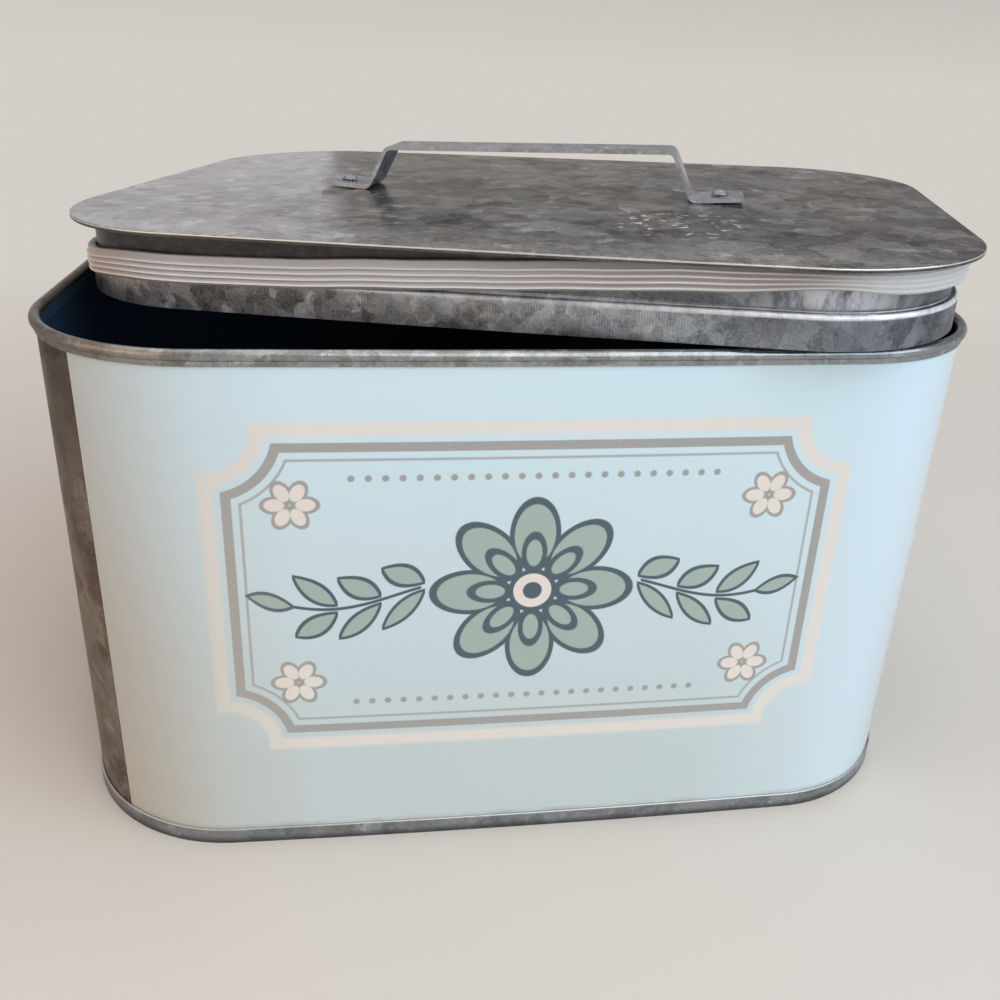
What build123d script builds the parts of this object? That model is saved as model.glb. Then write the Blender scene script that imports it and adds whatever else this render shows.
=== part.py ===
from build123d import *
from math import atan2, cos, radians, sin
import os

# A pressed and rolled steel bread box. Millimetres, +Z up. The origin is the middle of the flat
# underside, +X runs along the length and -Y is the enamelled front. The lid is a separate piece
# that has been set down askew and a little tilted on the open mouth, so its parts are drawn in
# the lid's own plane.

# Box body
box_length = 330.0
box_depth = 229.0
box_height = 189.5
corner_radius = 60.0
side_bow = 2.9
sheet = 0.7
seam_play = 0.05

# Base pan, a flat sheet with its edge turned up round the foot of the walls
pan_thickness = 0.8
pan_lip_height = 6.2
pan_lip_thickness = 0.8
pan_lip_rounding = 0.3

# Rim rolled over a wire core, with a leg inside the walls' top edge and a ridge outside it
roll_radius = 1.85
roll_sheet = 0.6
rim_wire_play = 0.1
rim_leg_height = 7.5
rim_leg_thickness = 0.6
rim_ridge_height = 3.4
rim_ridge_thickness = 0.6

# Side seams, where the enamelled front sheet laps over the bare back sheet
seam_left_inset = 19.0
seam_right_inset = 11.0
seam_gap = 0.15
seam_lap = 9.0
seam_joggle = 2.4
seam_end_clearance = 3.0

# Lid, and where the middle of its skirt's foot lies over the rim's crest
lid_height = 27.2
lid_yaw = -18.0
lid_pitch = -1.14
lid_roll = 1.18
lid_x = 14.2
lid_y = 11.4
lid_rise = 2.1
lid_sheet = 0.7
lid_gap = 6.5
lid_overhang = 5.5
plate_hem_width = 2.4
plate_edge_rounding = 0.4
skirt_height = 11.6
skirt_hem_height = 3.6
ledge_width = 2.4
shoulder_radius = 1.3
neck_flange_width = 5.5

# Seal: a band with a lip round the neck, slipped down over the shoulder at its left end
seal_height = 9.0
seal_left_drop = 3.6
seal_overhang = 1.6
seal_skirt_clearance = 0.3
seal_plate_clearance = 0.25
seal_neck_clearance = 0.5
seal_lip_height = 2.5
seal_rib_count = 4
seal_rib_height = 1.1
seal_rib_depth = 0.6
seal_rib_pitch = 2.0
seal_rib_rounding = 0.4

# Handle, a bent strap with one rivet through each foot
strap_width = 21.0
strap_thickness = 1.5
strap_bend_radius = 3.0
handle_foot_spacing = 133.5
handle_bar_length = 116.5
handle_foot_length = 20.3
handle_rise_left = 16.0
handle_rise_right = 18.2
handle_foot_lift = 4.0
rivet_inset = 11.0
rivet_shank_diameter = 3.2
rivet_hole_clearance = 0.1
rivet_head_diameter = 7.0
rivet_head_height = 1.9
rivet_tail_diameter = 5.6
rivet_tail_height = 1.0
rivet_head_gap = 0.2

os.makedirs("parts", exist_ok=True)

# Plan of the walls' outer face: long sides bowed outward, large rounded corners
half_length = box_length / 2
half_depth = box_depth / 2
with BuildSketch() as wall_plan:
    with BuildLine():
        ThreePointArc((-half_length, -half_depth), (0, -half_depth - side_bow), (half_length, -half_depth))
        Line((half_length, -half_depth), (half_length, half_depth))
        ThreePointArc((half_length, half_depth), (0, half_depth + side_bow), (-half_length, half_depth))
        Line((-half_length, half_depth), (-half_length, -half_depth))
    make_face()
    fillet(wall_plan.vertices(), radius=corner_radius)


def grown(amount):
    """Face of the wall's plan, grown outward by an amount."""
    if amount == 0:
        return wall_plan.sketch
    return offset(wall_plan.sketch, amount=amount, mode=Mode.PRIVATE)


def band(plane, outer, inner, height):
    """Upright closed band between two offsets of the wall's plan, standing on a plane."""
    with BuildSketch(plane) as profile:
        add(grown(outer))
        add(grown(inner), mode=Mode.SUBTRACT)
    extrude(profile.sketch, amount=height)


def disc(plane, outer, height):
    """Flat sheet of the wall's plan, grown by an offset, lying on a plane."""
    with BuildSketch(plane) as profile:
        add(grown(outer))
    extrude(profile.sketch, amount=height)


def save(piece, name):
    """Label a finished piece and write it."""
    piece.part.label = name
    export_step(piece.part, f"parts/{name}.step")


# Heights that several pieces share
wall_foot_z = pan_thickness + seam_play
roll_centre_z = box_height - roll_radius
wire_radius = roll_radius - roll_sheet - rim_wire_play
wall_top_z = roll_centre_z - roll_radius - seam_play
wall_height = wall_top_z - wall_foot_z
leg_foot_z = box_height - rim_leg_height

# Base pan
with BuildPart() as base_pan:
    disc(Plane.XY, seam_play, pan_thickness)
    band(Plane.XY, seam_play + pan_lip_thickness, seam_play, pan_lip_height)
    lip_top = base_pan.edges().group_by(Axis.Z)[-1]
    fillet(lip_top, radius=pan_lip_rounding)
save(base_pan, "base_pan")

# Enamelled front sheet, wrapping both front corners as far as the side seams
seam_left_x = seam_left_inset - half_length
seam_right_x = half_length - seam_right_inset
front_width = seam_right_x - seam_left_x
with BuildPart() as front_sheet:
    with BuildSketch(Plane.XY.offset(wall_foot_z)):
        add(grown(0))
        add(grown(-sheet), mode=Mode.SUBTRACT)
        with Locations(((seam_left_x + seam_right_x) / 2, -half_depth)):
            Rectangle(front_width, box_depth, mode=Mode.INTERSECT)
    extrude(amount=wall_height)
save(front_sheet, "front_sheet")


def seam_strip(plane, outer, inner, start_x, end_x, height):
    """Part of a band in the front half between two lengthwise positions."""
    with BuildSketch(plane) as profile:
        add(grown(outer))
        add(grown(inner), mode=Mode.SUBTRACT)
        with Locations(((start_x + end_x) / 2, -half_depth)):
            Rectangle(abs(end_x - start_x), box_depth, mode=Mode.INTERSECT)
    extrude(profile.sketch, amount=height)


# Bare back sheet: both sides and the back, with a joggled lap behind each edge of the front sheet
lap_foot_z = wall_foot_z + seam_end_clearance
lap_height = leg_foot_z - seam_end_clearance - lap_foot_z
lap_outer = -sheet - seam_play
lap_inner = lap_outer - sheet
with BuildPart() as back_sheet:
    with BuildSketch(Plane.XY.offset(wall_foot_z)):
        add(grown(0))
        add(grown(-sheet), mode=Mode.SUBTRACT)
        with Locations(((seam_left_x + seam_right_x) / 2, -half_depth)):
            Rectangle(front_width + 2 * seam_gap, box_depth, mode=Mode.SUBTRACT)
    extrude(amount=wall_height)
    for edge_x, inward in ((seam_left_x, 1), (seam_right_x, -1)):
        joggle_start = edge_x - inward * seam_joggle
        joggle_end = edge_x - inward * seam_gap
        lap_end = edge_x + inward * seam_lap
        seam_strip(Plane.XY.offset(lap_foot_z), 0, lap_inner, joggle_start, joggle_end, lap_height)
        seam_strip(Plane.XY.offset(lap_foot_z), lap_outer, lap_inner, joggle_start, lap_end, lap_height)
save(back_sheet, "back_sheet")


def pipe_round_mouth(radius):
    """Closed round pipe that follows the rim's roll, over the walls' outer face."""
    path = wall_plan.sketch.wire().moved(Location((0, 0, roll_centre_z)))
    with BuildSketch(Plane(origin=path @ 0, z_dir=path % 0)) as profile:
        Circle(radius)
    sweep(profile.sketch, path=path)


# Wire core of the rolled rim
with BuildPart() as rim_wire:
    pipe_round_mouth(wire_radius)
save(rim_wire, "rim_wire")

# Rolled rim: a tube round the wire, over the walls' top edge, with its leg and its ridge
with BuildPart() as wire_bore:
    pipe_round_mouth(wire_radius + rim_wire_play)
leg_outer = lap_outer
leg_inner = leg_outer - rim_leg_thickness
ridge_foot_z = roll_centre_z - rim_ridge_height
with BuildPart() as rim_band:
    pipe_round_mouth(roll_radius)
    band(Plane.XY.offset(leg_foot_z), leg_outer, leg_inner, roll_centre_z - leg_foot_z)
    band(Plane.XY.offset(ridge_foot_z), seam_play + rim_ridge_thickness, seam_play, rim_ridge_height)
    add(wire_bore.part, mode=Mode.SUBTRACT)
save(rim_band, "rim_band")

# Lid, in its own plane: the foot of its skirt, turned, shifted and tilted from the box
lid_turn = Location((lid_x, lid_y, box_height + lid_rise), (lid_roll, lid_pitch, lid_yaw), Extrinsic.XYZ)
lid_plane = Plane(lid_turn)
lid_up = Axis(lid_plane.origin, lid_plane.z_dir)
plate_foot = lid_height - lid_sheet
plate_edge = lid_overhang - lid_gap
skirt_face = -lid_gap
neck_face = skirt_face - ledge_width
rivet_x = handle_foot_spacing / 2 + rivet_inset

# Lid plate with a hem folded under its edge and two rivet holes
with BuildPart() as lid_plate:
    disc(lid_plane.offset(plate_foot), plate_edge, lid_sheet)
    band(lid_plane.offset(plate_foot - lid_sheet), plate_edge, plate_edge - plate_hem_width, lid_sheet)
    top_edges = lid_plate.edges().group_by(lid_up)[-1]
    fillet(top_edges, radius=plate_edge_rounding)
    with Locations(lid_plane.offset(lid_height)):
        with Locations((-rivet_x, 0), (rivet_x, 0)):
            Hole(radius=rivet_shank_diameter / 2 + rivet_hole_clearance, depth=2 * lid_sheet)
save(lid_plate, "lid_plate")

# Lid skirt: hemmed foot, rounded shoulder, ledge, recessed neck and a flange welded under the plate
with BuildPart() as lid_skirt:
    band(lid_plane, skirt_face, skirt_face - lid_sheet, skirt_height)
    band(lid_plane, skirt_face, skirt_face - 2 * lid_sheet, skirt_hem_height)
    band(lid_plane.offset(skirt_height - lid_sheet), skirt_face, neck_face - lid_sheet, lid_sheet)
    ledge_top = lid_skirt.faces().sort_by(lid_up)[-1]
    fillet(ledge_top.outer_wire().edges(), radius=shoulder_radius)
    neck_foot = skirt_height - lid_sheet
    band(lid_plane.offset(neck_foot), neck_face, neck_face - lid_sheet, plate_foot - neck_foot)
    flange_foot = plate_foot - lid_sheet
    band(lid_plane.offset(flange_foot), neck_face, neck_face - lid_sheet - neck_flange_width, lid_sheet)
save(lid_skirt, "lid_skirt")

# Ribbed seal: its left end hangs over the skirt's shoulder and its right end has slipped up to the plate
seal_outer = skirt_face + seal_overhang
seal_body_outer = seal_outer - seal_rib_depth
seal_inner = skirt_face + seal_skirt_clearance
seal_lip_inner = neck_face + seal_neck_clearance
seal_left_foot = skirt_height - seal_left_drop
seal_right_foot = plate_foot - seal_plate_clearance - seal_height
seal_reach = box_length + 2 * seal_outer
seal_tilt = atan2(seal_right_foot - seal_left_foot, seal_reach)
seal_middle = (seal_left_foot + seal_right_foot) / 2
seal_axis = Vector(-sin(seal_tilt), 0, cos(seal_tilt))
seal_along = Vector(cos(seal_tilt), 0, sin(seal_tilt))
seal_plane = Plane(
    origin=lid_plane.from_local_coords(Vector(0, 0, seal_middle)),
    x_dir=lid_plane.from_local_coords(seal_along) - lid_plane.origin,
    z_dir=lid_plane.from_local_coords(seal_axis) - lid_plane.origin,
)
with BuildPart() as seal_rib:
    band(seal_plane, seal_outer, seal_inner, seal_rib_height)
    rib_faces = seal_rib.faces().filter_by(seal_plane)
    rib_edges = [edge for face in rib_faces for edge in face.outer_wire().edges()]
    fillet(rib_edges, radius=seal_rib_rounding)
with BuildPart() as lid_seal:
    band(seal_plane, seal_body_outer, seal_inner, seal_height)
    band(seal_plane.offset(seal_height - seal_lip_height), seal_body_outer, seal_lip_inner, seal_lip_height)
    for rib in range(seal_rib_count):
        add(seal_rib.part.moved(Location(seal_plane.z_dir * rib * seal_rib_pitch)))
save(lid_seal, "lid_seal")

# Handle strap, bent in the lid's lengthwise plane, its feet sprung up a little at their tips
foot_x = handle_foot_spacing / 2
bar_x = handle_bar_length / 2
strap_base = lid_height + strap_thickness / 2
tip_lift = handle_foot_length * sin(radians(handle_foot_lift))
tip_x = foot_x + handle_foot_length * cos(radians(handle_foot_lift))
strap_points = [
    (-tip_x, strap_base + tip_lift),
    (-foot_x, strap_base),
    (-bar_x, strap_base + handle_rise_left),
    (bar_x, strap_base + handle_rise_right),
    (foot_x, strap_base),
    (tip_x, strap_base + tip_lift),
]
strap_plane = Plane(origin=lid_plane.origin, x_dir=lid_plane.x_dir, z_dir=-lid_plane.y_dir)
with BuildPart() as handle_strap:
    with BuildLine(strap_plane) as strap_line:
        FilletPolyline(*strap_points, radius=strap_bend_radius)
    with BuildSketch(Plane(origin=strap_line.wire() @ 0, x_dir=lid_plane.y_dir, z_dir=strap_line.wire() % 0)):
        Rectangle(strap_width, strap_thickness)
    sweep()
    with Locations(lid_plane.offset(lid_height + 2 * strap_thickness + tip_lift)):
        with Locations((-rivet_x, 0), (rivet_x, 0)):
            Hole(radius=rivet_shank_diameter / 2 + rivet_hole_clearance, depth=3 * strap_thickness + tip_lift)
save(handle_strap, "handle_strap")

# Rivets: a domed head over the foot, a shank through foot and plate, and a flat tail under the plate
foot_top = lid_height + strap_thickness / cos(radians(handle_foot_lift))
rivet_rise = (rivet_inset + rivet_head_diameter / 2) * sin(radians(handle_foot_lift))
head_foot = foot_top + rivet_rise + rivet_head_gap
tail_foot = plate_foot - rivet_tail_height
head_radius = rivet_head_diameter / 2
dome_radius = (head_radius**2 + rivet_head_height**2) / (2 * rivet_head_height)
with BuildPart() as handle_rivets:
    for side in (-1, 1):
        axis_point = lid_plane.from_local_coords(Vector(side * rivet_x, 0, 0))
        rivet_plane = Plane(origin=axis_point, x_dir=lid_plane.x_dir, z_dir=-lid_plane.y_dir)
        with BuildSketch(rivet_plane) as rivet_half:
            with BuildLine():
                Polyline(
                    (0, head_foot + rivet_head_height),
                    (0, tail_foot),
                    (rivet_tail_diameter / 2, tail_foot),
                    (rivet_tail_diameter / 2, plate_foot),
                    (rivet_shank_diameter / 2, plate_foot),
                    (rivet_shank_diameter / 2, head_foot),
                    (head_radius, head_foot),
                )
                RadiusArc((head_radius, head_foot), (0, head_foot + rivet_head_height), radius=-dome_radius)
            make_face()
        revolve(rivet_half.sketch, axis=Axis(axis_point, lid_plane.z_dir))
save(handle_rivets, "handle_rivets")
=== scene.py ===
# %% [markdown]
# # A sheet-steel bread box
# The steel shell, the rolled rim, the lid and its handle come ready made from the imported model,
# and their meshes stay as they are. This lesson gives them their finishes, makes the soft seal
# again as a surface with real ridges, and sets up the light, the floor and the camera.

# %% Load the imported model
import bpy
import numpy as np
from mathutils import Euler, Matrix, Vector


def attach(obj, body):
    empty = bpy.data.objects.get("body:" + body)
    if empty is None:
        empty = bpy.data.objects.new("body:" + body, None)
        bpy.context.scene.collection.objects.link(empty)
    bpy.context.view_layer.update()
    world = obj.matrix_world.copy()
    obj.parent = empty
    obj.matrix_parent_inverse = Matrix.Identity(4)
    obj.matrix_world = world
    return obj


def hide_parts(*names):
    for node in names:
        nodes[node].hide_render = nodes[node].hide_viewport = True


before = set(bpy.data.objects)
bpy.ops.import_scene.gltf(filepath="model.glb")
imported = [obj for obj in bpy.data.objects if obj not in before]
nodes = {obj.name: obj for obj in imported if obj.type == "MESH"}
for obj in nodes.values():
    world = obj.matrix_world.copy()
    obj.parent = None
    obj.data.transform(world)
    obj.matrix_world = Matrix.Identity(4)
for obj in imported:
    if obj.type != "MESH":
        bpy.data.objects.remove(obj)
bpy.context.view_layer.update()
print("nodes:", sorted(nodes))

# %% [markdown]
# ## Camera
# The camera stands in front of the box, a little to its left, and looks down at it. Its place,
# its three directions and its focal length in pixels were worked out from the outlines of the
# box. It could be aimed by hand at a target, but a matrix with the three directions as its
# columns gives just the frame that the outlines ask for. A small vertical shift stands for the
# part of the picture that was cropped away.

# %% Camera
camera_place = (-0.05479, -0.40295, 0.27580)
camera_right = (0.990948, -0.129022, 0.037081)
camera_down = (-0.017667, -0.399156, -0.916713)
camera_ahead = (0.133077, 0.907760, -0.397823)
focal_pixels = 977.3
middle_row = 466.2
picture_pixels = 1000
sensor_mm = 36

camera_data = bpy.data.cameras.new("camera")
camera_data.sensor_width = sensor_mm
camera_data.lens = focal_pixels * sensor_mm / picture_pixels
camera_data.shift_y = middle_row / picture_pixels - 0.5
camera_data.clip_start = 0.01
camera = bpy.data.objects.new("camera", camera_data)
camera_up, camera_behind = -np.array(camera_down), -np.array(camera_ahead)
axes = np.column_stack([camera_right, camera_up, camera_behind, camera_place])
camera.matrix_world = Matrix([*axes.tolist(), [0, 0, 0, 1]])
bpy.context.scene.collection.objects.link(camera)
bpy.context.scene.camera = camera
print("focal length in mm:", round(camera_data.lens, 2))

# %% [markdown]
# ## Where the lid lies
# The lid has been set down turned and a little tilted, so anything that follows it is easier to
# describe in the lid's own axes: x along its length, y across it, z up from its skirt's foot.
# The lid's object could carry that turn itself, but its mesh already lies in its place, with its
# object at the origin. So the axes are kept as a matrix, whose inverse takes a point into them.

# %% The lid's own axes
lid_degrees = (1.18, -1.14, -18.0)
lid_middle = (0.0142, 0.0114, 0.1916)
lid_turn = Euler(np.radians(lid_degrees), "XYZ").to_matrix().to_4x4()
lid_axes = Matrix.Translation(lid_middle) @ lid_turn
to_lid = lid_axes.inverted()
print("lid's axes in degrees:", lid_degrees)

# %% [markdown]
# ## Finishes as sums
# Shader maths is easier to read as a formula than as a web of wires. A Wire stands for one
# socket, and Python's own operators add the Math nodes between them. A Tree has one method that
# adds any other node, and a Finish is the tree of one material. The same nodes could be joined by
# hand in the Shader Editor, but written as sums they are used again on every piece.


# %% A socket that can be added and multiplied
class Wire:
    """What leaves one socket of a node. The operators and methods add Math nodes to it."""

    def __init__(self, tree, socket):
        self.tree = tree
        self.socket = socket

    def math(self, operation, *others, clamp=False):
        settings = {"operation": operation, "use_clamp": clamp}
        return self.tree.node("ShaderNodeMath", settings, dict(enumerate((self, *others))))

    def __add__(self, other):
        return self.math("ADD", other)

    def __sub__(self, other):
        return self.math("SUBTRACT", other)

    def __rsub__(self, other):
        return self.math("MULTIPLY_ADD", -1.0, other)

    def __mul__(self, other):
        return self.math("MULTIPLY", other)

    def __truediv__(self, other):
        return self.math("DIVIDE", other)

    def __abs__(self):
        return self.math("ABSOLUTE")

    __radd__ = __add__
    __rmul__ = __mul__

    def least(self, other):
        return self.math("MINIMUM", other)

    def most(self, other):
        return self.math("MAXIMUM", other)

    def root(self):
        return self.math("SQRT")

    def sine(self):
        return self.math("SINE")

    def cosine(self):
        return self.math("COSINE")

    def folded(self, half):
        """The value brought into the span from -half to half by whole steps."""
        return self.math("WRAP", half, -half)

    def below(self, edge, soft):
        """1 where the value is less than the edge, 0 above it, with a soft step between."""
        return self.math("MULTIPLY_ADD", -1 / soft, edge / soft + 0.5, clamp=True)

    def above(self, edge, soft):
        """1 where the value is more than the edge."""
        return self.math("MULTIPLY_ADD", 1 / soft, 0.5 - edge / soft, clamp=True)


print("a socket can now be added, multiplied and cut off at an edge")


# %% A tree of nodes that grows by formulas
class Tree:
    """A node tree. node() adds any node, and the other methods name the kinds used most."""

    def __init__(self, tree):
        self.tree = tree

    def node(self, kind, settings=None, inputs=None, out=0):
        made = self.tree.nodes.new(kind)
        for key, value in (settings or {}).items():
            setattr(made, key, value)
        for key, value in (inputs or {}).items():
            self.join(value, made.inputs[key])
        return Wire(self, made.outputs[out])

    def join(self, value, socket):
        if isinstance(value, Wire):
            self.tree.links.new(value.socket, socket)
        else:
            socket.default_value = value

    def split(self, vector, axis):
        return self.node("ShaderNodeSeparateXYZ", inputs={0: vector}, out=axis)

    def vector(self, operation, *values, scale=None, out=0):
        inputs = dict(enumerate(values))
        if scale is not None:
            inputs["Scale"] = scale
        return self.node("ShaderNodeVectorMath", {"operation": operation}, inputs, out)

    def mix(self, amount, plain, other):
        """Colour that goes from plain to other as the amount goes from 0 to 1."""
        inputs = {0: amount, 6: plain, 7: other}
        return self.node("ShaderNodeMix", {"data_type": "RGBA"}, inputs, out=2)

    def layers(self, tint, *laid):
        """A colour under layers that are laid on in turn, each an amount and its own colour."""
        for amount, shade in laid:
            tint = self.mix(amount, tint, shade)
        return tint


print("a tree can split and join vectors and lay colours on each other")


# %% The tree of one material
class Finish(Tree):
    """A Principled material with its place in millimetres as x, y and z."""

    def __init__(self, name, on_lid=False):
        self.material = bpy.data.materials.new(name)
        self.material.use_nodes = True
        super().__init__(self.material.node_tree)
        self.shader = self.tree.nodes["Principled BSDF"]
        self.place = self.node("ShaderNodeTexCoord", out="Object")
        if on_lid:
            self.place = self.moved(to_lid.translation[:], to_lid.to_euler("XYZ")[:])
        self.x, self.y, self.z = (self.split(self.place, axis) * 1000 for axis in "XYZ")
        self.facing = self.node("ShaderNodeNewGeometry", out="Normal")

    def paint(self, **values):
        for key, value in values.items():
            self.join(value, self.shader.inputs[key.replace("_", " ")])

    def moved(self, shift=(0, 0, 0), turn=(0, 0, 0), stretch=(1, 1, 1)):
        """The place, stretched, turned in radians and shifted."""
        inputs = {0: self.place, "Location": shift, "Rotation": turn, "Scale": stretch}
        return self.node("ShaderNodeMapping", inputs=inputs)

    def noise(self, place, grain_mm, detail=3.0, roughness=0.5, out="Fac"):
        """Clouds about as large as the grain, in millimetres."""
        inputs = {"Vector": place, "Scale": 1000 / grain_mm}
        inputs |= {"Detail": detail, "Roughness": roughness}
        return self.node("ShaderNodeTexNoise", inputs=inputs, out=out)

    def cells(self, place, grain_mm):
        """Voronoi cells about as large as the grain, each of one random colour."""
        inputs = {"Vector": place, "Scale": 1000 / grain_mm}
        return self.node("ShaderNodeTexVoronoi", inputs=inputs, out="Color")

    def bump(self, height, distance, strength, normal=None):
        inputs = {"Height": height, "Distance": distance, "Strength": strength}
        if normal is not None:
            inputs["Normal"] = normal
        return self.node("ShaderNodeBump", inputs=inputs)

    def dress(self, *names):
        """Give this finish to whole nodes."""
        for name in names:
            nodes[name].data.materials.clear()
            nodes[name].data.materials.append(self.material)
        print(self.material.name, "on", names)


print("a finish knows its place in millimetres and the way it faces")


# %% Colours as a screen shows them
def colour(red, green, blue):
    """A colour given in the 0 to 255 of a screen, turned into the linear values of a shader."""
    share = np.array([red, green, blue]) / 255
    linear = np.where(share <= 0.04045, share / 12.92, ((share + 0.055) / 1.055) ** 2.4)
    return (*linear.tolist(), 1.0)


print("mid grey in linear light:", round(colour(128, 128, 128)[0], 3))

# %% [markdown]
# ## Galvanised sheet
# Hot zinc freezes on steel in flat crystals, a centimetre or so across. Each one leans its own
# way and so catches the light a little differently. An image wrapped round the sheet could show
# them, but it would stretch at the corners and repeat. Worked out from the place in millimetres,
# they keep their size everywhere: two sizes of Voronoi cells give the crystals and their lean,
# and clouds and smears weather them. Fine hatching stands for the rolled sheet under them, and a
# few cells are left paler, where the skin of the zinc is fresh.

# %% Measures of the zinc
small_to_large = 0.42
hatch_pitch = 0.9
tone_middle = 1.61
lean_share = 0.012
zinc_relief = 0.0001
brown = colour(150, 124, 104)
lilac = colour(168, 170, 204)
print("fine hatching every", hatch_pitch, "mm")


# %% Zinc crystals
def zinc(finish, dark, light, crystal_mm, contrast, hatching=0.07):
    """Colour, roughness, metallic share and normal of one sheet.

    The tone is a weighted sum of crystals, clouds, smears, grain and hatching, less its middle.
    It picks a colour from dark to light, and a few crystals go towards brown or lilac. Pale
    crystals and small flakes are less of a mirror. Each crystal's random colour, read as a
    vector, tilts the normal.
    """
    wobble = finish.noise(finish.place, 5, 4.0, out="Color")
    place = finish.vector("ADD", finish.place, finish.vector("SCALE", wobble, scale=0.005))
    large = finish.cells(place, crystal_mm)
    small = finish.cells(place, crystal_mm * small_to_large)
    large_x, large_y, large_z = (finish.split(large, axis) for axis in "XYZ")
    small_x, small_y, small_z = (finish.split(small, axis) for axis in "XYZ")
    cloud = finish.noise(finish.place, 30, 6.0, 0.66)
    smear = finish.noise(finish.moved(stretch=(1.6, 1, 1.6)), 9, 5.0, 0.66)
    grain = finish.noise(finish.place, 0.9, 2.0, 0.6)
    line = (finish.x * (2 * np.pi / hatch_pitch) + cloud * 9).sine()
    hatch = line * (0.35 + small_z * 0.65) * smear.above(0.4, 0.3)
    tone = large_x * 0.42 + small_y * 0.3 + cloud * 0.9 + smear * 0.7 + grain * 0.9
    tone = tone + hatch * hatching - tone_middle
    fresh = large_y.above(0.84, 0.04) * smear.above(0.5, 0.12)
    flakes = small_z.above(0.9, 0.06) * smear.above(0.5, 0.1)
    share = (tone * contrast + 0.5 + fresh * 0.16 + flakes * 0.25).most(0).least(1)
    brown_tone_and_warm_reflection = large_z.above(0.75, 0.2) * 0.1
    purpled = small_x.above(0.8, 0.1) * 0.1
    tint = finish.layers(finish.mix(share, dark, light), (brown_tone_and_warm_reflection, brown), (purpled, lilac))
    both = finish.vector("ADD", finish.vector("SCALE", large, scale=2.0), small)
    centred = finish.vector("SUBTRACT", both, (1.5, 1.5, 1.5))
    lean = finish.vector("SCALE", centred, scale=lean_share)
    leaning = finish.vector("NORMALIZE", finish.vector("ADD", finish.facing, lean))
    normal = finish.bump(smear + grain * 0.3 + hatch * 0.1, zinc_relief, 0.5, leaning)
    rough = 0.24 + large_y * 0.08 + cloud * 0.12
    metal = 0.94 - share * 0.2 - flakes * 0.18
    return tint, rough, metal, normal


print("crystals, clouds and hatching ready")

# %% [markdown]
# ## Lid
# The lid's sheet is smoother than its skirt, most of all at the left, and faintly mirrors the
# handle. Hands have scuffed it along the front. Its hemmed edge gets a painted highlight along its
# top and painted shade below that. Near the right foot of the handle lie a few pale spots of dried
# water. Such marks could be painted on a map of the sheet. Masks made from the place, and from the
# way that a face looks, need no map and keep to the edge exactly.

# %% Lid sheet
plate_zinc = Finish("plate zinc", on_lid=True)
plate_contrast = 0.5 + plate_zinc.x.above(-60, 130) * 0.5
plate_dark, plate_light = colour(48, 48, 49), colour(182, 181, 182)
plate_crystal = 17
tint, rough, metal, normal = zinc(
    plate_zinc, plate_dark, plate_light, plate_crystal, plate_contrast
)
print("the lid's crystals are the largest,", plate_crystal, "mm")

# %% Dried spots, painted shade and highlight on the edge, and scuffs
spot_x, spot_y, spot_reach = 62, -56, 24
sheet_top_z = 26.65
past_x, past_y = plate_zinc.x - spot_x, plate_zinc.y - spot_y
off_spot = (past_x * past_x + past_y * past_y).root()
spots = plate_zinc.noise(plate_zinc.place, 3.6, 1.0).above(0.64, 0.03)
spots = spots * off_spot.below(spot_reach, 14)
# The edge faces get painted shade, and above the sheet's upper face a painted highlight.
painted_edge_light = abs(plate_zinc.split(plate_zinc.facing, "Z")).below(0.55, 0.3)
scuff_grain = plate_zinc.noise(plate_zinc.moved(stretch=(0.5, 1, 1)), 1.8, 5.0, 0.8)
scuffs = plate_zinc.y.below(-88, 34) * (1 - painted_edge_light) * scuff_grain.above(0.46, 0.2)
streak_grain = plate_zinc.noise(plate_zinc.moved(stretch=(0.4, 1, 1)), 6, 5.0, 0.75)
streaks = plate_zinc.y.below(30, 160) * (1 - painted_edge_light) * streak_grain.above(0.6, 0.05)
scuffs = (scuffs + streaks * 0.7).least(1)
tint = plate_zinc.layers(
    tint,
    (spots * 0.7, colour(232, 232, 230)),
    (painted_edge_light * 0.8, colour(74, 72, 70)),
    (painted_edge_light * plate_zinc.z.above(sheet_top_z, 0.25), colour(228, 225, 219)),
    (scuffs * 0.4, colour(206, 205, 203)),
)
matt = painted_edge_light * 0.3 + spots * 0.6 + scuffs * 0.22
plate_zinc.paint(
    Base_Color=tint,
    Roughness=rough * 0.55,
    Metallic=(metal - matt).most(0),
    Normal=normal,
    Specular_Tint=(0.55, 0.55, 0.55, 1),
)
plate_zinc.dress("lid_plate")

# %% [markdown]
# The skirt under the sheet gets painted shade in its recessed neck, most of all at the left, where
# the sheet shades it, but for a painted reflection under the seal near its right end. Its rounded
# shoulder gets a painted highlight, stronger towards the right, and the skirt's right part gets
# painted shade in blue-grey. Each zone could be a material of its own on a group of faces, but
# then it would end in a hard line along the mesh's triangles. Heights in the lid's axes mark the
# zones here, with soft edges.

# %% Lid skirt
skirt_zinc = Finish("skirt zinc", on_lid=True)
skirt_dark, skirt_light = colour(104, 108, 112), colour(208, 216, 223)
neck_foot_z = 12.6
shoulder_foot_z, shoulder_top_z = 9.9, 11.9
reflection_start_x, reflection_end_x = 92, 130
tint, rough, metal, normal = zinc(
    skirt_zinc, skirt_dark, skirt_light, crystal_mm=9, contrast=1.0, hatching=0.14
)
neck = skirt_zinc.z.above(neck_foot_z, 0.6)
# painted shade on the neck under the sheet, strongest at the left
neck_shade = neck * (0.08 + skirt_zinc.x.below(60, 140) * 0.84)
highlight_noise = skirt_zinc.noise(skirt_zinc.moved(stretch=(1, 1, 0.35)), 7, 4.0, 0.65)
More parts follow.
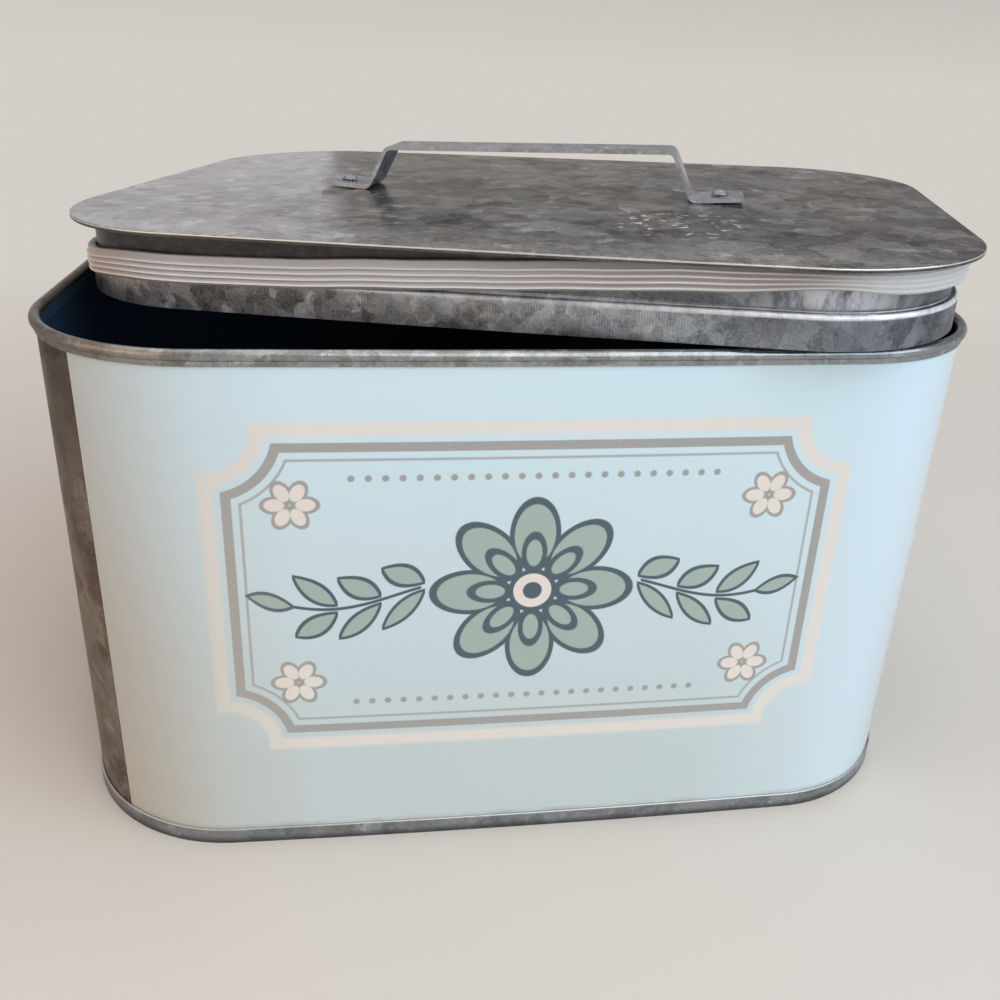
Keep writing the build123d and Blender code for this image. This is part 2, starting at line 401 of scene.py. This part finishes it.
# painted reflection on the neck under the seal near its right end, broken up by noise
neck_reflection = skirt_zinc.x.above(reflection_start_x, 30) * skirt_zinc.x.below(reflection_end_x, 25)
neck_reflection = neck * neck_reflection * highlight_noise.above(0.44, 0.16)
lying = abs(skirt_zinc.split(skirt_zinc.facing, "Z")).above(0.93, 0.1)
shoulder = skirt_zinc.z.above(shoulder_foot_z, 0.6) * skirt_zinc.z.below(shoulder_top_z, 0.3)
shoulder = shoulder * (1 - lying)
# painted highlight on the rounded shoulder, stronger towards the right
painted_edge_light = (0.15 + skirt_zinc.x.above(65, 90) * 0.85) * (0.5 + highlight_noise.above(0.46, 0.2) * 0.5)
tint = skirt_zinc.layers(
    tint,
    (neck_shade, colour(48, 47, 48)),
    # painted shade: the skirt's right part darker and bluer
    (skirt_zinc.x.above(70, 90) * 0.65, colour(44, 56, 72)),
    (neck_reflection * 0.6, colour(232, 234, 245)),
    (shoulder * painted_edge_light, colour(246, 247, 250)),
)
skirt_zinc.paint(
    Base_Color=tint,
    Roughness=rough,
    # the shoulder's painted highlight is also less of a mirror
    Metallic=metal - shoulder * 0.45,
    Normal=normal,
    Specular_Tint=(0.7, 0.7, 0.72, 1),
)
skirt_zinc.dress("lid_skirt")

# %% [markdown]
# The handle is a bent strap of zinc-coated steel, held by a rivet at each foot. Where the strap
# was sheared from its sheet, its two long sides are paler and duller, partly the cut edge and
# partly a painted highlight along it. They could have a material of their own, but how far a
# point lies from the strap's middle line tells them apart, so one finish does for the whole handle
# and its rivets.

# %% Handle and rivets
handle_zinc = Finish("handle zinc", on_lid=True)
handle_dark, handle_light = colour(88, 95, 106), colour(180, 187, 198)
strap_side_y = 10.1
tint, rough, metal, normal = zinc(
    handle_zinc, handle_dark, handle_light, crystal_mm=7, contrast=0.85
)
# the long sides: paler as the cut edge and as a painted highlight
cut_edge_and_highlight = abs(handle_zinc.y).above(strap_side_y, 0.2)
handle_zinc.paint(
    Base_Color=handle_zinc.mix(cut_edge_and_highlight * 0.35, tint, colour(190, 190, 190)),
    Roughness=rough * 0.8,
    Metallic=metal - cut_edge_and_highlight * 0.4,
    Normal=normal,
)
handle_zinc.dress("handle_strap", "handle_rivets")

# %% [markdown]
# ## Box walls
# The ends and the back are bare sheet outside. At the left end a painted warm reflection browns
# them, and painted shade darkens them near the top under the rim. Inside, the box lies in shade,
# so the faces that look inward get painted shade, a dark slate colour, on the same sheet. They
# could be selected and given a second material, but the imported meshes stay as they are. So the
# shader finds them: a face looks inward where its normal points against its place, both taken
# from the box's upright middle line.


# %% Ends and back
def inward(finish):
    """1 on the faces that look towards the box's upright middle line, 0 on the others."""
    flat = finish.vector("MULTIPLY", finish.place, (1, 1, 0))
    return finish.vector("DOT_PRODUCT", finish.facing, flat, out="Value").below(0, 0.002)


# painted shade, a dark slate colour, for the faces inside the box
inside_shade = colour(42, 62, 80)
wall_zinc = Finish("wall zinc")
wall_dark, wall_light = colour(78, 74, 71), colour(172, 167, 160)
tint, rough, metal, normal = zinc(
    wall_zinc, wall_dark, wall_light, crystal_mm=15, contrast=1.0
)
inside_shaded = inward(wall_zinc)
# a painted warm reflection at the left end, and painted shade near its top under the rim
left_end_reflection_and_shade = wall_zinc.x.below(-130, 50)
tint = wall_zinc.layers(
    tint,
    (left_end_reflection_and_shade * 0.35, colour(122, 94, 66)),
    (left_end_reflection_and_shade * wall_zinc.z.above(140, 80) * 0.75, colour(38, 32, 27)),
    (inside_shaded, inside_shade),
)
wall_zinc.paint(
    Base_Color=tint,
    Roughness=rough - inside_shaded * 0.1,
    Metallic=(1 - inside_shaded) * metal,
    Normal=normal,
    Specular_Tint=(0.6, 0.57, 0.54, 1),
)
wall_zinc.dress("back_sheet")

# %% [markdown]
# The pan's band shows at the foot of the walls, with painted shade along its lower edge and at
# its left end and a painted highlight along its upper one. Its floor gets the painted shade of the
# walls' inside. The test for the walls doesn't find the floor, which looks up, so its shade is a
# slice of height that holds the floor's upper face and no more than a hairline of the band, down
# where that is dark anyway.

# %% Floor pan
floor_zinc = Finish("pan zinc")
pan_dark, pan_light = colour(100, 103, 106), colour(172, 177, 182)
floor_shade_low_z, floor_shade_high_z = 0.6, 0.9
band_top_z = 5.9
tint, rough, metal, normal = zinc(
    floor_zinc, pan_dark, pan_light, crystal_mm=9, contrast=0.7
)
floor_inside_shade = floor_zinc.z.above(floor_shade_low_z, 0.1) * floor_zinc.z.below(floor_shade_high_z, 0.1)
# painted shade at the band's foot and left end, a painted highlight along its top, and painted
# shade on the floor inside
tint = floor_zinc.layers(
    tint,
    (floor_zinc.z.below(2.0, 2.4) * 0.7, colour(56, 54, 52)),
    (floor_zinc.x.below(-125, 60) * 0.35, colour(74, 66, 58)),
    (floor_zinc.z.above(band_top_z, 0.4) * 0.7, colour(214, 214, 212)),
    (floor_inside_shade, inside_shade),
)
floor_zinc.paint(
    Base_Color=tint, Roughness=rough, Metallic=(1 - floor_inside_shade) * metal, Normal=normal
)
floor_zinc.dress("base_pan")

# %% [markdown]
# The rim is steel rolled round a wire, with a leg that goes down inside the walls. Its crystals
# are small. A painted warm reflection darkens and browns it at the left and a painted cool
# reflection tints it at the right, and the leg gets the walls' painted shade up to where the roll
# begins. The leg could be cut off and dressed by itself. One finish with the same test as the
# walls, stopped at a height, leaves the rim whole.

# %% Rolled rim
rim_steel = Finish("rim steel")
rim_dark, rim_light = colour(98, 99, 97), colour(186, 188, 186)
leg_top_z = 186.4
tint, rough, metal, normal = zinc(
    rim_steel, rim_dark, rim_light, crystal_mm=6, contrast=0.65
)
# painted warm reflection at the left end, painted cool reflection at the right, painted shade on
# the leg inside
brown_tone_and_warm_reflection = rim_steel.x.below(-128, 70)
shaded_leg = inward(rim_steel) * rim_steel.z.below(leg_top_z, 0.3)
tint = rim_steel.layers(
    tint,
    (brown_tone_and_warm_reflection * 0.7, colour(92, 78, 64)),
    (rim_steel.x.above(60, 120) * 0.35, colour(144, 160, 178)),
    (shaded_leg, inside_shade),
)
rim_steel.paint(
    Base_Color=tint,
    Roughness=rough * 0.75 + brown_tone_and_warm_reflection * 0.12,
    Metallic=(1 - shaded_leg) * metal,
    Normal=normal,
    Specular_Tint=(0.7, 0.69, 0.68, 1),
)
rim_steel.dress("rim_band", "rim_wire")

# %% [markdown]
# ## Enamelled front
# The front is a glossy pale enamel with a printed design. The design here is a plain traditional
# one: a panel with scooped corners, rows of beads, a large rosette and two laurel branches. It
# could be thin meshes laid on the sheet, but these would stand proud of it or flicker in it. So
# it is part of the finish, and sharp at any size: each shape is a distance in millimetres that
# is negative inside, so a line is where it is near zero. Distances along the front follow the
# sheet round its corners.

# %% Where a point is on the front
enamel = Finish("enamel")
flat_half = 105.0
corner_turn = 60.0
panel_middle_z = 104.0
turn_share = ((abs(enamel.x) - flat_half) / corner_turn).most(0).least(1)
along = abs(enamel.x).least(flat_half) + turn_share.math("ARCSINE") * corner_turn
up = enamel.z - panel_middle_z
print("print laid out from", panel_middle_z, "mm up the front")


# %% Shapes of the print
def reach(across, height):
    """Distance from a point, by Pythagoras."""
    return (across * across + height * height).root()


def scooped_panel(half_width, half_height, scoop):
    """Oblong with a round bite out of each corner: the larger of side distance and bite."""
    sides = (along - half_width).most(abs(up) - half_height)
    return sides.most(scoop - reach(along - half_width, abs(up) - half_height))


def petals(across, height, count, inner, outer, width):
    """Petals round a point: one ellipse, with every direction folded into its share of the turn."""
    radius = reach(across, height)
    folded = height.math("ARCTAN2", across).folded(np.pi / count)
    ray = (radius * folded.cosine() - (inner + outer) / 2) / ((outer - inner) / 2)
    side = radius * folded.sine() / width
    return (reach(ray, side) - 1) * width


def leaf(across, height, half_length, width):
    """A pointed leaf: its half width falls as the square of the distance from its middle."""
    share = across / half_length
    return abs(height) - (1 - share * share) * width


print("shapes: panel, petals and leaf")


# %% Branches of leaves
stem_wave, stem_swing, stem_half = 0.068, 5, 0.6
stalk_before, stalk_after = 6, 3
leaf_lean = np.radians(36)
leaf_rise_share = 0.74
off_stem = up - (along * stem_wave).sine() * stem_swing


def branch(start, end, pitch, half_length, width):
    """Pairs of leaves on a waving stem: the pattern is folded along the stem and across it."""
    share = (along - start).folded(pitch / 2)
    middle = along - share
    rise = abs(off_stem) - half_length * leaf_rise_share
    across = share * np.cos(leaf_lean) + rise * np.sin(leaf_lean)
    height = rise * np.cos(leaf_lean) - share * np.sin(leaf_lean)
    there = middle.above(start - 1, 0.5) * middle.below(end, 0.5)
    on_stalk = along.above(start - stalk_before, 0.5) * along.below(end + stalk_after, 0.5)
    return leaf(across, height, half_length, width), there, abs(off_stem) - stem_half, on_stalk


print("the leaves lean by", round(float(np.degrees(leaf_lean))), "degrees")

# %% [markdown]
# The ground is pale blue-green. Towards its foot it is greyer, partly its own tone and partly
# painted shade, and at the right corner a painted cool light tints it. The inks could be chosen by
# one colour ramp, but shapes that overlap need an order. So the print is laid on one shape at a
# time, as a printer would: a shape's amount is its distance cut off with a soft edge.

# %% Ground, panel, beads and corner flowers
cloudy = enamel.noise(enamel.place, 110, 3.0)
ground = enamel.mix(cloudy, colour(203, 227, 237), colour(210, 233, 244))
# greyer towards the foot, partly its own tone and partly painted shade; a painted cool light at the
# right corner
foot_grey_and_shade = enamel.z.below(110, 150) * (0.85 - enamel.x.above(95, 60) * 0.5)
right_cool_light = enamel.x.above(118, 60) * 0.25
ground = enamel.layers(ground, (foot_grey_and_shade, colour(190, 200, 200)), (right_cool_light, colour(196, 204, 224)))
slate = colour(66, 86, 98)
sage = colour(158, 178, 170)
cream = colour(226, 219, 211)
grey = colour(158, 157, 154)
print_edge = 0.35
bead_pitch, bead_radius, bead_row_up, bead_row_half = 5.5, 1.15, 43, 63
flower_along, flower_up, flower_reach = 80, 34, 8.6
grain = enamel.noise(enamel.place, 0.6, 2.0)
panel = scooped_panel(half_width=106, half_height=60, scoop=17)
bead = reach(along.folded(bead_pitch / 2), abs(up) - bead_row_up)
from_flower = along - flower_along, abs(up) - flower_up
flower = petals(*from_flower, 6, flower_reach * 0.15, flower_reach, 2.5)
ink = enamel.layers(
    ground,
    (abs(panel).below(2.4, 1.5) * 0.85, cream),
    (abs(panel + 6.2).below(1.6, print_edge) * (0.75 + grain * 0.5), grey),
    (abs(panel + 10.5).below(0.45, print_edge) * 0.8, grey),
    (bead.below(bead_radius, 0.5) * along.below(bead_row_half, 0.5), grey),
    (flower.below(0.7, print_edge), grey),
    (flower.below(-0.3, print_edge), cream),
)
print("beads every", bead_pitch, "mm")

# %% Branches and rosette
leaves, there, stalk, on_stalk = branch(44, 78, pitch=14.6, half_length=8.9, width=3.5)
tip_leaf = leaf(along - 88, off_stem, half_length=7.5, width=3.0)
leaf_outer = (leaves.below(0.6, print_edge) * there).most(tip_leaf.below(0.6, print_edge))
leaf_inner = (leaves.below(-0.75, print_edge) * there).most(tip_leaf.below(-0.75, print_edge))
ink = enamel.layers(
    ink,
    (stalk.below(0, print_edge) * on_stalk, slate),
    (leaf_outer, slate),
    (leaf_inner, sage),
)
for inner, outer, width in ((9, 34, 7.8), (8, 21, 3.5)):
    flower = petals(along, up, 8, inner, outer, width)
    rings = (flower.below(0.9, print_edge), slate), (flower.below(-0.8, print_edge), sage)
    ink = enamel.layers(ink, *rings)
centre = reach(along, up)
for radius, shade in ((8.4, slate), (6.6, cream), (3.3, slate)):
    ink = enamel.mix(centre.below(radius, print_edge), ink, shade)
print("print ready: panel, beads, flowers, branches and rosette")

# %% [markdown]
# The enamel itself is glassy, with a slow ripple and the finest orange peel. Along the seams and
# at its foot the coat thins and lets a little of the steel's warm grey through. Its left corner is
# yellowed and darker, partly by age and partly by a painted warm reflection, and its inner face
# gets the painted shade of the box's inside. Gloss could come from a low roughness alone, but fired
# enamel shows a sharp highlight over a soft one, so a clear coat lies over a rougher base.

# %% Enamel
seams_middle_x, seam_start = 3, 149
foot_top_z = 7.6
ripple = enamel.noise(enamel.place, 70, 2.0)
peel = enamel.noise(enamel.place, 3.8, 2.0)
thin = enamel.noise(enamel.place, 17, 5.0, 0.6)
inside_shaded = inward(enamel)
seam_side = abs(enamel.x - seams_middle_x).above(seam_start, 3.0)
foot_side = enamel.z.below(foot_top_z, 1.2)
worn = (seam_side + foot_side).least(1) * thin.above(0.52, 0.3)
# the left corner yellowed by age and darkened by a painted warm reflection
yellowing_and_warm_reflection = enamel.x.below(-118, 84) * (0.4 + cloudy * 0.45)
yellowing_and_warm_reflection = yellowing_and_warm_reflection * (0.75 + enamel.z.below(110, 150) * 0.6)
surface = enamel.layers(
    ink,
    (yellowing_and_warm_reflection, colour(176, 167, 148)),
    (worn * 0.6, colour(168, 165, 158)),
    (inside_shaded, inside_shade),
)
enamel.paint(
    Base_Color=surface,
    Roughness=0.2 + inside_shaded * 0.2 + peel * 0.06,
    Normal=enamel.bump(ripple + peel * 0.02, 0.0004, 0.6),
    Coat_Weight=0.6,
    Coat_Roughness=0.08,
)
enamel.dress("front_sheet")

# %% [markdown]
# ## Seal
# The seal is a soft white silicone band with fine ridges. It has slipped: at the left it hangs
# over the skirt's shoulder, and towards the right it climbs until the lid's sheet squeezes it,
# so that it bulges and its ridges go slack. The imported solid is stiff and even, so the band is
# made again here. It could be dropped over the lid by simulation, but where it came to lie is
# known. So its section is carried round the outline of the box, moved in to the lid's neck, and
# takes its height and bulge from where it is.

# %% Outline of the box and the normals along it
half_length, half_depth, side_bow, corner = 165.0, 114.5, 2.9, 60.0
side_radius = (half_length**2 + side_bow**2) / (2 * side_bow)
side_centre = side_radius - half_depth - side_bow
corner_x = half_length - corner
corner_y = side_centre - np.sqrt((side_radius - corner) ** 2 - corner_x**2)
bow_turn = np.arcsin(corner_x / (side_radius - corner))
side_points, corner_points, end_points = part_points = 70, 50, 16


def outline():
    """Points and outward normals of an oblong of four arcs and two lines, rounded at its corners.

    A quarter is worked out by the angle that its normal has turned from the front: a wide arc,
    then the corner's arc, then half of the straight end. Mirroring it gives the rest.
    """
    on_side = np.linspace(0, bow_turn, side_points, endpoint=False)
    on_corner = np.linspace(bow_turn, np.pi / 2, corner_points, endpoint=False)
    on_end = np.linspace(corner_y, 0, end_points, endpoint=False)
    turn = np.concatenate([on_side, on_corner, np.full(end_points, np.pi / 2)])
    normal = np.column_stack([np.sin(turn), -np.cos(turn)])
    middle_x = np.repeat([0.0, corner_x, corner_x], part_points)
    side_y, corner_ys = np.full(side_points, side_centre), np.full(corner_points, corner_y)
    middle_y = np.concatenate([side_y, corner_ys, on_end])
    radius = np.repeat([side_radius, corner, corner], part_points)
    point = np.column_stack([middle_x, middle_y]) + normal * radius[:, None]
    quarter = np.column_stack([point, normal])
    last = np.array([[half_length, 0, 1, 0]])
    back = (quarter * (1, -1, 1, -1))[::-1]
    half = np.concatenate([quarter, last, back])[:-1]
    other = (np.concatenate([half[1:], back[-1:]]) * (-1, 1, -1, 1))[::-1]
    ring = np.concatenate([half, other])
    return ring[:, :2], ring[:, 2:]


ring, ring_normal = outline()
print("outline of", len(ring), "points")

# %% How high the band runs
full_height = 9.7
sheet_underside = 26.2
front_x = (
    -165, -150, -138, -126, -112, -99, -76, -58, -24, 9,
    41, 68, 83, 95, 109, 116, 124, 132, 142, 165,
)
front_foot = (
    5.2, 6.3, 8.0, 8.9, 9.2, 9.2, 9.5, 10.1, 11.9, 13.6,
    15.1, 16.6, 17.2, 18.4, 19.5, 19.5, 18.6, 17.8, 17.3, 16.6,
)
back_ends = (5.2, 17.0)
smoothing_passes = 12
long_waves, long_height = 9, 0.12
short_waves, short_height = 23, 0.08
back_foot = np.interp(ring[:, 0], (-half_length, half_length), back_ends)
foot = np.where(ring[:, 1] < 0, np.interp(ring[:, 0], front_x, front_foot), back_foot)
for _ in range(smoothing_passes):
    foot = (np.roll(foot, 1) + 2 * foot + np.roll(foot, -1)) / 4
way = np.arctan2(ring[:, 1], ring[:, 0])
foot = foot + long_height * np.sin(long_waves * way)
foot = foot + short_height * np.sin(short_waves * way + 1)
print("the band's foot lies", foot.min().round(1), "to", foot.max().round(1), "mm up the lid")

# %% Where the sheet squeezes the band
end_narrowing = 0.6
squeeze_bulge, right_bulge = 2.2, 0.5
slack_share = 0.75
narrow_start_x, narrow_soft = -120, 40
slack_start_x, slack_soft = 70, 60
at_left = np.clip((narrow_start_x - ring[:, 0]) / narrow_soft, 0, 1)
at_right = np.clip((ring[:, 0] - slack_start_x) / slack_soft, 0, 1)
top = np.minimum(foot + full_height - end_narrowing * at_left, sheet_underside)
squeeze = 1 - (top - foot) / full_height
bulge = squeeze_bulge * squeeze + right_bulge * at_right
ridge_share = 1 - slack_share * at_right
print("band is", round(float((top - foot).min()), 1), "to", full_height, "mm high")

# %% Section of the band
body_offset = -5.6
inner_offset = -6.2
lip_offset = -8.4
lip_foot_share = 0.75
lip_slope_share = 0.05
ridge_pitch = 1.95
ridge_first = 1.1
ridge_count = 4
ridge_depth = 0.75
ridge_sharpness = 2.6
end_rounding = 0.5
outer_points, inner_points = 76, 22


def seal_band():
    """Grid of places in the lid's axes, in millimetres, and how near a ridge's crest each lies.

    One way runs round the outline and the other round the section. The outer face goes up with
    rounded ridges, cosine waves raised to a power, and draws in at both ends by a quarter
    circle. The inner face comes down, thicker at the top, where a lip holds on to the neck.
    """
    rise = np.linspace(0, 1, outer_points)[None, :]
    height = foot[:, None] + rise * (top - foot)[:, None]
    above_foot = rise * full_height
    wave = 0.5 + 0.5 * np.cos(2 * np.pi * (above_foot - ridge_first) / ridge_pitch)
    ridges_end = ridge_first + (ridge_count - 0.5) * ridge_pitch
    ridged = wave**ridge_sharpness * (above_foot < ridges_end)
    from_end = np.minimum(rise, 1 - rise) * full_height
    short_of = np.clip(end_rounding - from_end, 0, end_rounding)
    drawn = end_rounding - np.sqrt(end_rounding**2 - short_of**2)
    swell = bulge[:, None] * np.sin(np.pi * rise)
    outer = body_offset + ridge_depth * ridged * ridge_share[:, None] + swell - drawn
    down = np.linspace(1, 0, inner_points)[None, :]
    inner_height = foot[:, None] + down * (top - foot)[:, None]
    shares = (0, lip_foot_share - lip_slope_share, lip_foot_share, 1)
    inner_line = np.interp(down, shares, (inner_offset, inner_offset, lip_offset, lip_offset))
    inner = np.repeat(inner_line, len(ring), axis=0)
    offset = np.concatenate([outer, inner], axis=1)
    level = np.concatenate([height, inner_height], axis=1)
    across = ring[:, None, :] + ring_normal[:, None, :] * offset[:, :, None]
    crest = np.concatenate([ridged * ridge_share[:, None], np.zeros_like(inner)], axis=1)
    return np.concatenate([across, level[:, :, None]], axis=2), crest


print("ridges stand", ridge_depth, "mm proud")


# %% A closed mesh from a grid
def closed_mesh(name, grid, crest, axes):
    """Join a grid that closes both ways with four-sided faces, and place it by the given axes."""
    around, section = grid.shape[:2]
    number = np.arange(around * section).reshape(around, section)
    beside, above = np.roll(number, -1, axis=0), np.roll(number, -1, axis=1)
    opposite = np.roll(beside, -1, axis=1)
    faces = np.stack([number, beside, opposite, above], axis=-1).reshape(-1, 4)
    turned = np.array(axes)
    places = grid.reshape(-1, 3) * 0.001 @ turned[:3, :3].T + turned[:3, 3]
    mesh = bpy.data.meshes.new(name)
    mesh.from_pydata(places, [], faces.tolist())
    mesh.polygons.foreach_set("use_smooth", np.ones(len(faces), bool))
    mesh.attributes.new("crest", "FLOAT", "POINT").data.foreach_set("value", crest.ravel())
    mesh.update()
    made = bpy.data.objects.new(name, mesh)
    bpy.context.scene.collection.objects.link(made)
    print(name, "has", len(faces), "faces")
    return made


seal = closed_mesh("ribbed_seal", *seal_band(), lid_axes)
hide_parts("lid_seal")
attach(seal, "lid")

# %% [markdown]
# Silicone is a soft satin white. The ridges' crests get a painted highlight, and the band between
# them painted shade. A shader can find crests by how pointed the mesh is there, but that changes
# with the number of faces. So the mesh itself carries how near each point is to a crest. Most of
# the right half gets painted shade under the lid's sheet, broken up by smudges.

# %% Silicone
silicone = Finish("silicone", on_lid=True)
smudge = silicone.noise(silicone.place, 35, 4.0, 0.6)
dust = silicone.noise(silicone.place, 1.4, 3.0, 0.6)
# painted shade under the lid's sheet over most of the right half, broken up by smudges
sheet_shade = silicone.x.above(10, 70) * silicone.x.below(112, 25) * (0.45 + smudge * 0.7)
seal_tone = silicone.mix(smudge, colour(203, 204, 206), colour(221, 222, 225))
seal_tone = silicone.mix(sheet_shade, seal_tone, colour(138, 134, 133))
# painted highlight on the crests, painted shade between them
crest = silicone.node("ShaderNodeAttribute", {"attribute_name": "crest"}, out="Fac")
groove_shade = silicone.mix(0.3, seal_tone, colour(119, 118, 120))
seal_tone = silicone.mix(crest, groove_shade, colour(246, 246, 247))
silicone.paint(
    Base_Color=silicone.mix(dust.above(0.68, 0.06) * 0.35, seal_tone, colour(150, 140, 132)),
    Roughness=0.4 + smudge * 0.12,
    Normal=silicone.bump(dust + smudge * 2, 0.0001, 0.5),
)
seal.data.materials.append(silicone.material)
silicone.dress("lid_seal")

# %% [markdown]
# ## Floor and light
# A plain pale floor catches the shadow. It could curve up into a backdrop behind the box, but
# that would stand in the way of a camera there. Instead it fades away far from the box, so that
# no horizon shows, and the pale world behind it is seen.

# %% Floor
floor_half = 3.0
fade_middle, fade_soft = 700, 500
floor_mesh = bpy.data.meshes.new("floor")
sides = np.array([(-1, -1, 0), (1, -1, 0), (1, 1, 0), (-1, 1, 0)]) * floor_half
floor_mesh.from_pydata(sides.tolist(), [], [(0, 1, 2, 3)])
floor = bpy.data.objects.new("floor", floor_mesh)
bpy.context.scene.collection.objects.link(floor)
floor_finish = Finish("floor")
near = reach(floor_finish.x, floor_finish.y).below(fade_middle, fade_soft)
floor_finish.paint(Base_Color=colour(216, 210, 202), Roughness=0.75, Alpha=near)
floor_mesh.materials.append(floor_finish.material)
print("floor fades round", fade_middle, "mm from the middle")


# %% [markdown]
# Four soft lamps stand round the box: a broad cool one at the front right, a weaker warm one at
# the left, a broad one above and a faint one low at the back left, which lifts the lid's far
# edge. The world alone could light the box, but metal needs something bounded to mirror, or it
# looks like paint.

# %% Lamps
def softbox(name, place, target, size, watts, tint):
    """An oblong area lamp at a place, looking at a target."""
    lamp = bpy.data.lights.new(name, "AREA")
    lamp.shape = "RECTANGLE"
    lamp.size, lamp.size_y = size
    lamp.energy = watts
    lamp.color = tint
    holder = bpy.data.objects.new(name, lamp)
    way = Vector(target) - Vector(place)
    aimed = way.to_track_quat("-Z", "Y").to_matrix().to_4x4()
    holder.matrix_world = Matrix.Translation(place) @ aimed
    bpy.context.scene.collection.objects.link(holder)
    holder.visible_camera = False
    print(name, "lamp,", watts, "W")


aim, lid_aim = (0, 0, 0.12), (0, 0, 0.2)
softbox("key", (1.0, -1.4, 1.15), aim, (2.8, 2.2), 44, (0.84, 0.94, 1.0))
softbox("fill", (-1.5, -0.9, 0.7), aim, (1.7, 1.5), 9, (1.0, 0.6, 0.34))
softbox("top", (0.1, 0.2, 1.9), aim, (3.0, 2.6), 22, (1.0, 0.98, 0.97))
softbox("back left", (-0.55, 1.5, 0.36), lid_aim, (0.9, 0.5), 1.0, (0.97, 0.95, 1.04))

# %% [markdown]
# The world has two faces. One lights the box, warmer from the left than from the right and
# weaker from the back right. The other is what the camera sees, and what mirrors and glass show:
# a pale backdrop that darkens upward and to the right, so that the lid's sheet, which mirrors
# it, darkens the same way. One world could do both, but a backdrop as pale as this would light
# the box too flatly.

# %% World
world = bpy.data.worlds.new("room")
world.use_nodes = True
room = Tree(world.node_tree)
direction = room.node("ShaderNodeTexCoord", out="Generated")
from_left, upward = room.split(direction, "X"), room.split(direction, "Z")
air = room.mix(from_left * 0.5 + 0.5, colour(140, 92, 56), colour(194, 214, 232))
to_back_right = room.vector("DOT_PRODUCT", direction, (0.9, 0.43, 0), out="Value").most(0)
air_strength = 0.6 - to_back_right * 0.33
light_air = room.node("ShaderNodeBackground", inputs={"Color": air, "Strength": air_strength})
dimmed = upward.above(0.13, 0.3) * (0.45 + from_left.above(0.1, 1.0) * 0.55)
backdrop = room.mix(dimmed, colour(216, 211, 204), colour(140, 138, 138))
seen_air = room.node("ShaderNodeBackground", inputs={"Color": backdrop, "Strength": 0.95})
seeing_rays = ("Is Camera Ray", "Is Glossy Ray", "Is Transmission Ray")
camera_ray, glossy_ray, through_ray = (
    room.node("ShaderNodeLightPath", out=kind) for kind in seeing_rays
)
shown = (camera_ray + glossy_ray + through_ray).least(1)
mixed = room.node("ShaderNodeMixShader", inputs={0: shown, 1: light_air, 2: seen_air})
room.join(mixed, world.node_tree.nodes["World Output"].inputs["Surface"])
bpy.context.scene.world = world
bpy.context.scene.view_settings.view_transform = "Standard"
print("world lit")
